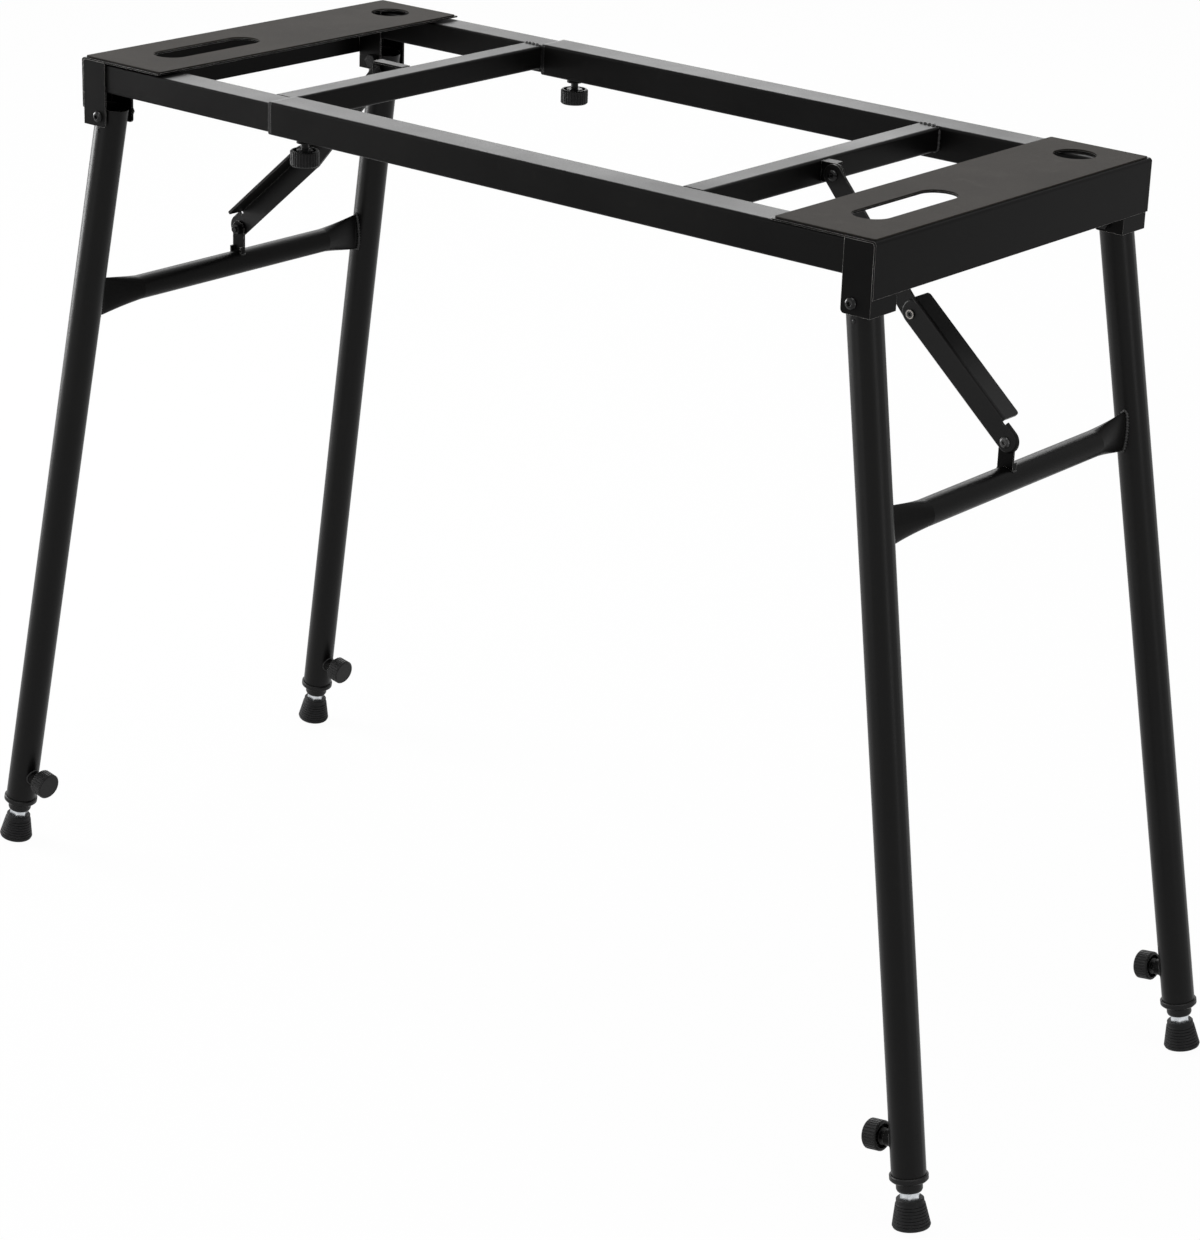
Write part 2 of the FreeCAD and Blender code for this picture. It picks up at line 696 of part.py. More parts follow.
def lower_link():
    """Angle-section link from the knee to the crossbar, with a lug past its flange."""
    radius = (lower_link_outer_edge + lower_link_inner_edge) / 2
    web = flat_bar(
        link_length, -lower_link_inner_edge, lower_link_outer_edge, -brace_face, link_thickness, radius)
    flange_end = link_length - flange_stop
    flange = box(
        Vector(-flange_start, -brace_face, lower_link_outer_edge - link_thickness),
        Vector(flange_end, -brace_face + lower_link_flange, lower_link_outer_edge))
    far_y = -brace_face + lower_link_flange
    tips = []
    for edge in flange.Edges:
        point = edge.CenterOfMass
        upright = abs(edge.tangentAt(edge.FirstParameter).z) > 0.9
        if upright and abs(point.y - far_y) < link_thickness:
            tips.append(edge)
    link = web.fuse(flange.makeFillet(flange_corner, tips)).removeSplitter()
    bends = []
    for edge in link.Edges:
        point = edge.CenterOfMass
        lengthwise = edge.Length > link_length / 2
        if lengthwise and abs(point.y + brace_face) < hinge_gap:
            if abs(point.z - lower_link_outer_edge) < hinge_gap:
                bends.append(edge)
    if bends:
        link = link.makeFillet(brace_bend * bend_share, bends)
    notch = box(
        Vector(flange_end, -brace_face - overrun, lower_link_outer_edge - flange_notch_depth),
        Vector(flange_end + flange_notch, -brace_face + overrun, lower_link_outer_edge + overrun))
    link = link.cut(notch)
    for x in (0, link_length):
        start = Vector(x, -brace_face - overrun, 0)
        link = link.cut(rod(start, Vector(0, 1, 0), overrun + link_thickness * 2, brace_pin_diameter))
    link.Placement = link_frame(knee_x, knee_z, crossbar_x, foot_pin_z)
    return link


def lower_link_pins():
    """Knee rivet and the head half of the lower link's foot pin, both fixed in the lower link."""
    front_y = -brace_face
    back = Vector(0, 1, 0)
    depth = 2 * link_thickness + link_gap
    knee = rod(Vector(knee_x, front_y, knee_z), back, depth, brace_pin_diameter)
    front = rod(Vector(knee_x, front_y, knee_z), -back, rivet_head_height, rivet_head_diameter)
    rear = rod(Vector(knee_x, front_y + depth + link_gap, knee_z), back, rivet_head_height, rivet_head_diameter)
    neck = rod(Vector(knee_x, front_y + depth, knee_z), back, link_gap, brace_pin_diameter)
    rivet = knee.fuse(front).fuse(rear).fuse(neck)
    start = Vector(knee_x, front_y - overrun, knee_z)
    rivet = rivet.cut(rod(start, back, 3 * overrun, rivet_bore))
    seat = Vector(crossbar_x, front_y, foot_pin_z)
    head = domed_head(seat, -back, brace_head_diameter, brace_head_height, brace_pin_diameter / 2)
    head = head.fuse(rod(seat, back, link_thickness, brace_pin_diameter))
    return Part.makeCompound([rivet, head])


def anchor(inner_x):
    """Bracket from a cross member's side face at inner_x to the upper link."""
    front_y = -brace_face + 2 * (link_thickness + link_gap)
    low = anchor_z - anchor_round * anchor_low_share
    radius = anchor_round * anchor_end_share
    rib_top = anchor_z + radius
    ear = box(Vector(inner_x, front_y, low), Vector(anchor_x, front_y + anchor_wall, rib_top))
    cap = Part.makeCylinder(radius, anchor_wall, Vector(anchor_x, front_y, anchor_z), Vector(0, 1, 0))
    trim = box(
        Vector(inner_x - overrun, front_y - overrun, anchor_z - 2 * overrun),
        Vector(anchor_x + overrun, front_y + overrun, low))
    ear = ear.fuse(cap.cut(trim))
    rib = box(
        Vector(inner_x, front_y, rib_top - anchor_wall),
        Vector(anchor_x, front_y + anchor_flange, rib_top))
    foot = box(
        Vector(inner_x, front_y, low),
        Vector(inner_x + anchor_wall, front_y + anchor_flange, rib_top))
    bracket = ear.fuse(rib).fuse(foot).removeSplitter()
    start = Vector(anchor_x, front_y - overrun, anchor_z)
    return bracket.cut(rod(start, Vector(0, 1, 0), 2 * overrun, brace_pin_diameter))


def anchor_bolt():
    """Bolt and nut through the anchor and the upper link."""
    back = Vector(0, 1, 0)
    link_front = -brace_face + link_thickness + link_gap
    seat = Vector(anchor_x, link_front - link_gap, anchor_z)
    nut_y = -brace_face + 2 * (link_thickness + link_gap) + anchor_wall
    head = domed_head(seat, -back, brace_head_diameter, brace_head_height, brace_pin_diameter / 2)
    shank = rod(seat, back, nut_y - seat.y + brace_nut_height + link_gap, brace_pin_diameter)
    nut = hexagon(Vector(anchor_x, nut_y, anchor_z), back, brace_nut_height, brace_nut_flats)
    return head.fuse(shank).fuse(nut)


def saddle():
    """Channel bracket standing on the right crossbar, behind the lower link's foot."""
    front_y = -brace_face + link_thickness + link_gap
    half = saddle_width / 2
    ear = box(
        Vector(crossbar_x - half, front_y, crossbar_height),
        Vector(crossbar_x + half, front_y + saddle_wall, foot_pin_z))
    cap = Part.makeCylinder(
        saddle_top_radius, saddle_wall, Vector(crossbar_x, front_y, foot_pin_z), Vector(0, 1, 0))
    bracket = ear.fuse(cap)
    for sign in (-1, 1):
        outer_x = crossbar_x + sign * half
        inner_x = outer_x - sign * saddle_wall
        low = Vector(min(outer_x, inner_x), front_y, crossbar_height)
        high = Vector(max(outer_x, inner_x), front_y + saddle_flange, foot_pin_z - saddle_flange_drop)
        bracket = bracket.fuse(box(low, high))
    bar = rod(
        Vector(crossbar_x, -overrun, crossbar_height), Vector(0, 1, 0), 2 * overrun, crossbar_diameter)
    bracket = bracket.removeSplitter().cut(bar)
    start = Vector(crossbar_x, front_y - overrun, foot_pin_z)
    return bracket.cut(rod(start, Vector(0, 1, 0), 2 * overrun, brace_pin_diameter))


def saddle_stud():
    """Nut half of the lower link's foot pin, fixed in the saddle."""
    front_y = -brace_face + link_thickness + link_gap
    back = Vector(0, 1, 0)
    reach = saddle_wall + brace_nut_height + link_thickness
    shank = rod(Vector(crossbar_x, front_y, foot_pin_z), back, reach, brace_pin_diameter)
    nut = hexagon(
        Vector(crossbar_x, front_y + saddle_wall, foot_pin_z), back, brace_nut_height, brace_nut_flats)
    return shank.fuse(nut)


def group(shapes):
    """Several separate solids as one node."""
    return Part.makeCompound(shapes)


def frame_pieces():
    """Nodes of the right frame, which stays still, and of the left frame, which slides."""
    outer_half = half_depth - rail_width
    inner_half = rail_middle_y - inner_rail_width / 2
    rail = outer_rail()
    sliding = inner_rail()
    bracket = corner_bracket()
    bolt = pivot_bolt()
    plate = end_plate()
    pad = mat()
    hook = anchor(right_cross_outer_x)
    hook_bolt = anchor_bolt()
    right_cross = cross_member(half_length - right_cross_inset, rail_top_height, outer_half)
    left_cross = cross_member(cross_left_x, inner_rail_top, inner_half)
    return {
        "right_front_rail": rail,
        "right_back_rail": mirror_y(rail),
        "right_cross_member": right_cross,
        "right_end_plate": plate,
        "right_mat": pad,
        "right_corner_brackets": group([bracket, mirror_y(bracket)]),
        "rail_end_bushings": group([rail_bushing(), mirror_y(rail_bushing())]),
        "rail_clamp_bosses": group([rail_boss(), mirror_y(rail_boss())]),
        "right_brace_anchor": hook,
        "right_frame_bolts": group([bolt, mirror_y(bolt), hook_bolt]),
        "left_front_rail": sliding,
        "left_back_rail": mirror_y(sliding),
        "left_cross_member": left_cross,
        "left_end_plate": mirror_x(plate),
        "left_mat": mirror_x(pad),
        "left_corner_brackets": group([mirror_x(bracket), mirror_x(mirror_y(bracket))]),
        "left_brace_anchor": half_turn(anchor(-cross_left_x)),
        "left_frame_bolts": group([mirror_x(bolt), mirror_x(mirror_y(bolt)), half_turn(hook_bolt)]),
    }


def leg_frame_pieces():
    """Nodes of the two folding leg frames and their braces."""
    tube = leg_tube()
    bar = crossbar()
    collar = leg_collar()
    boss = leg_clamp_boss()
    lower = lower_link()
    pieces = {}
    for side, to_side, to_turned in (("right", lambda s: s, lambda s: s), ("left", mirror_x, half_turn)):
        pieces[side + "_front_leg_tube"] = to_side(tube)
        pieces[side + "_back_leg_tube"] = to_side(mirror_y(tube))
        pieces[side + "_crossbar"] = to_side(bar)
        pieces[side + "_crossbar_saddle"] = to_turned(saddle())
        pieces[side + "_saddle_stud"] = to_turned(saddle_stud())
        pieces[side + "_leg_collars"] = group([to_side(collar), to_side(mirror_y(collar))])
        pieces[side + "_leg_clamp_bosses"] = group([to_side(boss), to_side(mirror_y(boss))])
        pieces[side + "_upper_link"] = to_turned(upper_link())
        pieces[side + "_lower_link"] = to_turned(lower)
        pieces[side + "_lower_link_pins"] = to_turned(lower_link_pins())
    return pieces


def telescoping_pieces():
    """Nodes of the four inner legs, their feet and all clamping knobs."""
    makers = {
        "inner_leg": inner_leg(),
        "leg_plug": inner_leg_plug(),
        "foot_screw": foot_screw(),
        "foot_pad": foot_pad(),
        "leg_knob": leg_knob(),
    }
    pieces = {}
    for name, shape in makers.items():
        pieces["right_front_" + name] = shape
        pieces["right_back_" + name] = mirror_y(shape)
        pieces["left_front_" + name] = mirror_x(shape)
        pieces["left_back_" + name] = mirror_x(mirror_y(shape))
    pieces["front_rail_knob"] = rail_knob()
    pieces["back_rail_knob"] = mirror_y(rail_knob())
    return pieces


def main():
    """Write one STEP file for each node."""
    os.makedirs("parts", exist_ok=True)
    nodes = {}
    nodes.update(frame_pieces())
    nodes.update(leg_frame_pieces())
    nodes.update(telescoping_pieces())
    for name, shape in nodes.items():
        if not shape.isValid():
            print("not valid:", name)
        shape.exportStep("parts/" + name + ".step")
    print(len(nodes), "nodes written")


main()
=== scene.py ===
"""Finish, small details, light and camera for the folding keyboard stand. Metres, +Z up."""

import json
import math

import bmesh
import bpy
from mathutils import Matrix, Vector


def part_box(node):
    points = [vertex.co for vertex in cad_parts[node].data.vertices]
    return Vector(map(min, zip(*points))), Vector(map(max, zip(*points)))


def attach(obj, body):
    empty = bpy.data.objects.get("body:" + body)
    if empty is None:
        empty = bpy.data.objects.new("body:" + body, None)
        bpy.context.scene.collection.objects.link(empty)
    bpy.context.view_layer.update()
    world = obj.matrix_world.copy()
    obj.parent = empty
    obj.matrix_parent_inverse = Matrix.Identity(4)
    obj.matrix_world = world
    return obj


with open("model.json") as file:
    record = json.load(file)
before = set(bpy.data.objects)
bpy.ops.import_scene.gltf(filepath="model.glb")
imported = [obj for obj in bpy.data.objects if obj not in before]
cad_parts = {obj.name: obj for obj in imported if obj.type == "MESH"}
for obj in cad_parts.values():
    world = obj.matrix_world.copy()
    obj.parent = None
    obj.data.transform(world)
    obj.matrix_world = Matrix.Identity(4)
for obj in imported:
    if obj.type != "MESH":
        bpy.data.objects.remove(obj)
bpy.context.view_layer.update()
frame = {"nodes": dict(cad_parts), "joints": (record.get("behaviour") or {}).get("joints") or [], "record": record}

MM = 0.001

# Camera that matches the photograph
CAMERA_PLACE = (1.6403, -1.9907, 1.2823)
CAMERA_AZIMUTH = 39.122
CAMERA_PITCH = 21.168
CAMERA_ROLL = 2.02
CAMERA_LENS = 100.13
SENSOR_HEIGHT = 36.0

# Floor, surroundings and lamps
WORLD_LEVEL = 0.45
FLOOR_SIZE = 24.0
FLOOR_SHADE = 0.9
FLOOR_ROUGHNESS = 0.9
FLOOR_WHITE_SHARE = 0.97
MIDDLE = (0.0, 0.0, 0.6)
LOW_MIDDLE = (0.0, 0.0, 0.4)
LAMPS = (
    # name, place, target, width, height, watts
    ("back_softbox", (-2.5, 3.1, 2.3), MIDDLE, 3.4, 1.6, 74.0),
    ("top_softbox", (0.4, -0.2, 3.4), MIDDLE, 2.6, 2.2, 55.0),
    ("left_softbox", (-2.5, -0.65, 0.85), LOW_MIDDLE, 1.1, 1.6, 68.0),
    ("front_softbox", (-0.6, -2.4, 0.8), LOW_MIDDLE, 0.9, 1.5, 9.0),
    ("right_strip", (2.4, -0.25, 0.8), LOW_MIDDLE, 0.3, 1.5, 6.0),
)

# Which nodes share the sheet coat and the leg coat, by the ends of their names
SHEET_NODES = ("_end_plate", "_corner_brackets", "_brace_anchor", "_saddle")
LEG_NODES = ("_leg_tube", "_inner_leg", "_lower_link", "_upper_link")

# Edge finding in the materials, and the worn ring on the knee rivet's head, as distances from its axis
BEVEL_SAMPLES = 6
EDGE_FULL_DOT = 0.78
RIM_INNER_SPAN = (2.4 * MM, 2.7 * MM)
RIM_OUTER_SPAN = (3.1 * MM, 3.4 * MM)

# Sizes of the steel under the small pieces
LEG_RADIUS = 12.7 * MM
CROSSBAR_RADIUS = 10.0 * MM
CROSSBAR_FLAT_HALF = 2.5 * MM
BOSS_RADIUS = 6.3 * MM

# Weld beads: a tube with a ripple, a slow wave over it and thinner ends
BEAD_SIDES = 10
BEAD_STEPS_PER_PITCH = 4
BEAD_MIN_STEPS = 8
BEAD_RIPPLE = 0.16
BEAD_PITCH = 1.5 * MM
BEAD_WAVE = 0.08
BEAD_WAVE_RATE = 0.37
BEAD_WAVE_SHIFT = 1.3
BEAD_END_SHARE = 0.45
BEAD_TAPER_RADII = 1.5
BEAD_LEAST_RUN = 1e-9
CROSS_MEMBER_BEAD_RADIUS = 1.5 * MM
CROSS_MEMBER_BEAD_INSET = 2.2 * MM
TOP_BEAD_RADIUS = 1.4 * MM
TOP_BEAD_RIPPLE = 0.4
TOP_BEAD_PITCH = 4.0 * MM
TOP_BEAD_LOW_INSET = 2.0 * MM
TOP_BEAD_HIGH_INSET = 1.5 * MM
TOP_BEAD_SLANT = 0.6 * MM
CROSSBAR_BEAD_RADIUS = 1.7 * MM
CROSSBAR_BEAD_RIPPLE = 0.3
CROSSBAR_BEAD_PITCH = 2.2 * MM
CROSSBAR_BEAD_POINTS = 48
SADDLE_BEAD_RADIUS = 1.1 * MM
BOSS_BEAD_RADIUS = 0.8 * MM
BOSS_BEAD_POINTS = 36

# Small domed rivet on each leg: radius, depth in the tube, and its profile as (share of radius, height)
RIVET_DROP = 13.0 * MM
RIVET_RADIUS = 1.5 * MM
RIVET_SINK = 0.3 * MM
RIVET_SIDES = 24
RIVET_PROFILE = ((1.0, 0.0), (1.0, 0.4 * MM), (0.85, 0.75 * MM), (0.5, 1.0 * MM))


class Nodes:
    """A small helper that builds one material's node tree."""

    def __init__(self, name):
        self.material = bpy.data.materials.new(name)
        self.material.use_nodes = True
        self.tree = self.material.node_tree
        self.shader = self.tree.nodes["Principled BSDF"]
        coordinates = self.tree.nodes.new("ShaderNodeTexCoord")
        self.place = coordinates.outputs["Object"]

    def add(self, kind, **values):
        """A new node with its properties and unlinked inputs set, and its linked inputs joined."""
        node = self.tree.nodes.new(kind)
        for key, value in values.items():
            if hasattr(node, key) and key not in node.inputs:
                setattr(node, key, value)
            elif isinstance(value, bpy.types.NodeSocket):
                self.tree.links.new(value, node.inputs[key])
            else:
                node.inputs[key].default_value = value
        return node

    def link(self, output, target):
        self.tree.links.new(output, target)

    def noise(self, scale, detail, roughness=0.55, stretch=None):
        """Noise over the object, from 0 to 1; stretch squeezes it along an axis."""
        place = self.place
        if stretch:
            mapping = self.add("ShaderNodeMapping", Vector=self.place, Scale=stretch)
            place = mapping.outputs["Vector"]
        node = self.add("ShaderNodeTexNoise", Vector=place, Scale=scale, Detail=detail, Roughness=roughness)
        return node.outputs["Fac"]

    def span(self, value, low, high, new_low=0.0, new_high=1.0):
        """Maps a value from one span to another, held at both ends."""
        node = self.add("ShaderNodeMapRange", Value=value)
        node.inputs["From Min"].default_value = low
        node.inputs["From Max"].default_value = high
        node.inputs["To Min"].default_value = new_low
        node.inputs["To Max"].default_value = new_high
        return node.outputs["Result"]

    def blend(self, share, first, second):
        """Mixes two colours, or a colour and a socket."""
        node = self.tree.nodes.new("ShaderNodeMix")
        node.data_type = "RGBA"
        self.link(share, node.inputs[0])
        for socket, colour in ((node.inputs[6], first), (node.inputs[7], second)):
            if isinstance(colour, bpy.types.NodeSocket):
                self.link(colour, socket)
            else:
                socket.default_value = (*colour, 1.0)
        return node.outputs[2]

    def math(self, operation, first, second=None):
        node = self.tree.nodes.new("ShaderNodeMath")
        node.operation = operation
        for socket, value in zip(node.inputs, (first, second)):
            if isinstance(value, bpy.types.NodeSocket):
                self.link(value, socket)
            elif value is not None:
                socket.default_value = value
        return node.outputs[0]

    def edge_mask(self, radius):
        """1 on sharp outer and inner edges and 0 on flat faces, from the rounded normal."""
        rounded = self.add("ShaderNodeBevel", Radius=radius, samples=BEVEL_SAMPLES)
        plain = self.tree.nodes.new("ShaderNodeNewGeometry")
        product = self.tree.nodes.new("ShaderNodeVectorMath")
        product.operation = "DOT_PRODUCT"
        self.link(rounded.outputs["Normal"], product.inputs[0])
        self.link(plain.outputs["Normal"], product.inputs[1])
        return self.span(product.outputs["Value"], 1.0, EDGE_FULL_DOT)

    def bump(self, height, strength, distance, rounding=None):
        """Bump from a height, over a normal that rounds sharp edges if a rounding is given."""
        node = self.add("ShaderNodeBump", Height=height, Strength=strength, Distance=distance)
        if rounding:
            rounded = self.add("ShaderNodeBevel", Radius=rounding, samples=BEVEL_SAMPLES)
            self.link(rounded.outputs["Normal"], node.inputs["Normal"])
        self.link(node.outputs["Normal"], self.shader.inputs["Normal"])


def powder_coat(name, edge_radius, edge_highlight_tone, specular):
    """Satin black powder coat: fine orange peel, faint dust, and thin pale edges that are a painted highlight with
    some edge wear.
    """
    m = Nodes(name)
    peel = m.noise(scale=1500.0, detail=2.0)
    grain = m.noise(scale=5200.0, detail=1.0)
    cloud = m.noise(scale=9.0, detail=4.0)
    dust = m.noise(scale=60.0, detail=6.0, roughness=0.65)
    dark, light, dusty = (0.0026, 0.0025, 0.0025), (0.0042, 0.004, 0.0038), (0.014, 0.0132, 0.012)
    base = m.blend(m.span(cloud, 0.35, 0.7), dark, light)
    dusted = m.blend(m.span(dust, 0.6, 0.85, 0.0, 0.35), base, dusty)
    # Pale edges: a painted highlight along every sharp edge, mixed with edge wear through the dust noise.
    worn = m.math("MULTIPLY", m.edge_mask(edge_radius), m.span(dust, 0.3, 0.6, 0.45, 1.0))
    m.link(m.blend(worn, dusted, edge_highlight_tone), m.shader.inputs["Base Color"])
    rough = m.span(m.math("ADD", cloud, m.math("MULTIPLY", peel, 0.5)), 0.5, 1.0, 0.3, 0.42)
    m.link(rough, m.shader.inputs["Roughness"])
    m.shader.inputs["Specular IOR Level"].default_value = specular
    height = m.math("ADD", peel, m.math("MULTIPLY", grain, 0.35))
    m.bump(height, strength=0.12, distance=0.05 * MM, rounding=0.45 * MM)
    return m.material


def grained_mat():
    """Thin anti-slip mat: matt brown-black with a fine leather-like grain."""
    m = Nodes("grained_mat")
    cells = m.add("ShaderNodeTexVoronoi", Vector=m.place, Scale=1100.0)
    fine = m.noise(scale=2600.0, detail=2.0)
    cloud = m.noise(scale=14.0, detail=5.0, roughness=0.6)
    rub = m.noise(scale=38.0, detail=5.0, roughness=0.7)
    dark, light = (0.021, 0.0185, 0.016), (0.031, 0.0275, 0.0242)
    scuff, fleck, darker_edge = (0.05, 0.0455, 0.041), (0.072, 0.066, 0.058), (0.02, 0.019, 0.018)
    base = m.blend(m.span(cloud, 0.35, 0.65), dark, light)
    rubbed = m.blend(m.span(rub, 0.58, 0.78, 0.0, 0.7), base, scuff)
    speckled = m.blend(m.span(fine, 0.48, 0.74, 0.0, 0.7), rubbed, fleck)
    # Darker along the edges than on the top.
    m.link(m.blend(m.edge_mask(0.6 * MM), speckled, darker_edge), m.shader.inputs["Base Color"])
    m.link(m.span(fine, 0.3, 0.7, 0.74, 0.9), m.shader.inputs["Roughness"])
    m.shader.inputs["Specular IOR Level"].default_value = 0.12
    height = m.math("ADD", m.math("MULTIPLY", cells.outputs["Distance"], 0.8), fine)
    m.bump(height, strength=0.5, distance=0.12 * MM, rounding=0.3 * MM)
    return m.material


def moulded(name, dark, light, rough_low, rough_high, grain_scale, specular):
    """Moulded black plastic or rubber with a fine texture and lighter edges, partly rubbed wear and partly a
    painted highlight.
    """
    m = Nodes(name)
    grain = m.noise(scale=grain_scale, detail=3.0)
    cloud = m.noise(scale=70.0, detail=5.0, roughness=0.6)
    base = m.blend(m.span(cloud, 0.3, 0.7), dark, light)
    # Lighter edges: rubbed wear mixed with a painted highlight.
    rub_and_highlight_gain = 7.0
    rubbed = tuple(rub_and_highlight_gain * value for value in light)
    worn = m.math("MULTIPLY", m.edge_mask(0.35 * MM), m.span(cloud, 0.3, 0.6, 0.3, 0.8))
    m.link(m.blend(worn, base, rubbed), m.shader.inputs["Base Color"])
    m.link(m.span(grain, 0.3, 0.7, rough_low, rough_high), m.shader.inputs["Roughness"])
    m.shader.inputs["Specular IOR Level"].default_value = specular
    m.bump(grain, strength=0.3, distance=0.06 * MM, rounding=0.3 * MM)
    return m.material


def plated_steel(name, bright, dull, rough_low, rough_high):
    """Plated or oxidised steel with fine turning marks and dull patches."""
    m = Nodes(name)
    turning = m.noise(scale=900.0, detail=2.0, roughness=0.5, stretch=(0.15, 0.15, 3.0))
    patch = m.noise(scale=220.0, detail=4.0, roughness=0.6)
    tone = m.blend(m.span(patch, 0.4, 0.68), bright, dull)
    # Brighter edges: a painted highlight.
    edge_highlight_gain = 1.25
    lit = tuple(min(1.0, edge_highlight_gain * value) for value in bright)
    m.link(m.blend(m.edge_mask(0.3 * MM), tone, lit), m.shader.inputs["Base Color"])
    m.shader.inputs["Metallic"].default_value = 1.0
    m.link(m.span(turning, 0.3, 0.7, rough_low, rough_high), m.shader.inputs["Roughness"])
    m.bump(turning, strength=0.2, distance=0.03 * MM, rounding=0.2 * MM)
    return m.material


def worn_rivet(knees):
    """Blackened knee rivets and pins, with a bright worn ring round each knee rivet's head."""
    m = Nodes("worn_rivet")
    patch = m.noise(scale=260.0, detail=4.0, roughness=0.6)
    dark, light, worn_metal = (0.011, 0.0108, 0.0105), (0.022, 0.021, 0.0195), (0.5, 0.46, 0.42)
    tone = m.blend(m.span(patch, 0.4, 0.68), dark, light)
    flat = m.add("ShaderNodeVectorMath", Vector=m.place, operation="MULTIPLY")
    flat.inputs[1].default_value = (1.0, 0.0, 1.0)
    nearest = None
    for knee in knees:
        away = m.add("ShaderNodeVectorMath", Vector=flat.outputs["Vector"], operation="DISTANCE")
        away.inputs[1].default_value = (knee.x, 0.0, knee.z)
        reach = away.outputs["Value"]
        nearest = m.math("MINIMUM", nearest, reach) if nearest else reach
    inner = m.span(nearest, *RIM_INNER_SPAN)
    outer = m.span(nearest, *RIM_OUTER_SPAN, new_low=1.0, new_high=0.0)
    rim = m.math("MULTIPLY", m.math("MULTIPLY", inner, outer), m.span(patch, 0.25, 0.5, 0.75, 1.0))
    m.link(m.blend(rim, tone, worn_metal), m.shader.inputs["Base Color"])
    m.link(m.span(patch, 0.3, 0.7, 0.24, 0.4), m.shader.inputs["Roughness"])
    m.shader.inputs["Specular IOR Level"].default_value = 0.5
    m.bump(patch, strength=0.2, distance=0.05 * MM, rounding=0.25 * MM)
    return m.material


def dark_fastener():
    """Glossy black bolt heads and nuts with faint bright edges, painted as worn metal mixed with a highlight."""
    m = Nodes("dark_fastener")
    patch = m.noise(scale=300.0, detail=4.0, roughness=0.6)
    dark, light, worn_metal = (0.005, 0.005, 0.0052), (0.009, 0.0088, 0.0088), (0.16, 0.155, 0.15)
    tone = m.blend(m.span(patch, 0.4, 0.68), dark, light)
    # Bright edges: worn metal mixed with a painted highlight.
    worn = m.math("MULTIPLY", m.edge_mask(0.3 * MM), m.span(patch, 0.3, 0.6, 0.1, 0.45))
    m.link(m.blend(worn, tone, worn_metal), m.shader.inputs["Base Color"])
    m.link(m.span(patch, 0.3, 0.7, 0.12, 0.22), m.shader.inputs["Roughness"])
    m.shader.inputs["Specular IOR Level"].default_value = 0.2
    m.bump(patch, strength=0.15, distance=0.04 * MM, rounding=0.3 * MM)
    return m.material


def weld_metal():
    """Weld bead under the powder coat: rippled and a little glossier."""
    m = Nodes("coated_weld")
    ripple = m.noise(scale=800.0, detail=3.0)
    cloud = m.noise(scale=150.0, detail=3.0)
    dark, light = (0.005, 0.0048, 0.0048), (0.012, 0.0115, 0.011)
    m.link(m.blend(cloud, dark, light), m.shader.inputs["Base Color"])
    m.link(m.span(ripple, 0.3, 0.7, 0.28, 0.45), m.shader.inputs["Roughness"])
    m.shader.inputs["Specular IOR Level"].default_value = 0.35
    m.bump(ripple, strength=0.5, distance=0.15 * MM)
    return m.material


def finish_nodes():
    """Gives every CAD node its finish by its record slot, or by its name for sheets, legs and links."""
    knees = [Vector(joint["pos_m"]) for joint in frame["joints"] if joint["name"].endswith("_knee_hinge")]
    # Edge tones for the coats: painted highlights along the edges, the sheet one almost white.
    tube_edge_highlight = (0.2, 0.195, 0.185)
    sheet_edge_highlight = (0.8, 0.78, 0.75)
    finishes = {
        "black_coat": powder_coat("tube_coat", 0.4 * MM, tube_edge_highlight, specular=0.06),
        "mat_rubber": grained_mat(),
        "foot_rubber": moulded(
            "foot_rubber", dark=(0.0075, 0.0075, 0.0078), light=(0.0125, 0.0125, 0.0128),
            rough_low=0.5, rough_high=0.7, grain_scale=1800.0, specular=0.16),
        "black_plastic": moulded(
            "moulded_plastic", dark=(0.0062, 0.0062, 0.0064), light=(0.011, 0.0108, 0.0108),
            rough_low=0.34, rough_high=0.5, grain_scale=2600.0, specular=0.16),
        "zinc_steel": plated_steel(
            "zinc_plate", bright=(0.66, 0.68, 0.7), dull=(0.42, 0.44, 0.46), rough_low=0.2, rough_high=0.36),
        "worn_steel": worn_rivet(knees),
        "black_steel": dark_fastener(),
    }
    slots = {entry["node"]: entry["material_slot"] for entry in frame["record"]["subparts"]}
    leg_coat = powder_coat("leg_coat", 0.4 * MM, tube_edge_highlight, specular=0.14)
    sheet_coat = powder_coat("sheet_coat", 0.32 * MM, sheet_edge_highlight, specular=0.045)
    for name, node in frame["nodes"].items():
        material = finishes[slots[name]]
        if name.endswith(SHEET_NODES):
            material = sheet_coat
        if name.endswith(LEG_NODES):
            material = leg_coat
        node.data.materials.clear()
        node.data.materials.append(material)
    return finishes


def softbox(name, place, target, width, height, power):
    """A rectangular soft light that the camera doesn't see."""
    light = bpy.data.lights.new(name, "AREA")
    light.shape = "RECTANGLE"
    light.size = width
    light.size_y = height
    light.energy = power
    obj = bpy.data.objects.new(name, light)
    bpy.context.scene.collection.objects.link(obj)
    obj.location = place
    direction = Vector(target) - Vector(place)
    obj.rotation_euler = direction.to_track_quat("-Z", "Y").to_euler()
    obj.visible_camera = False


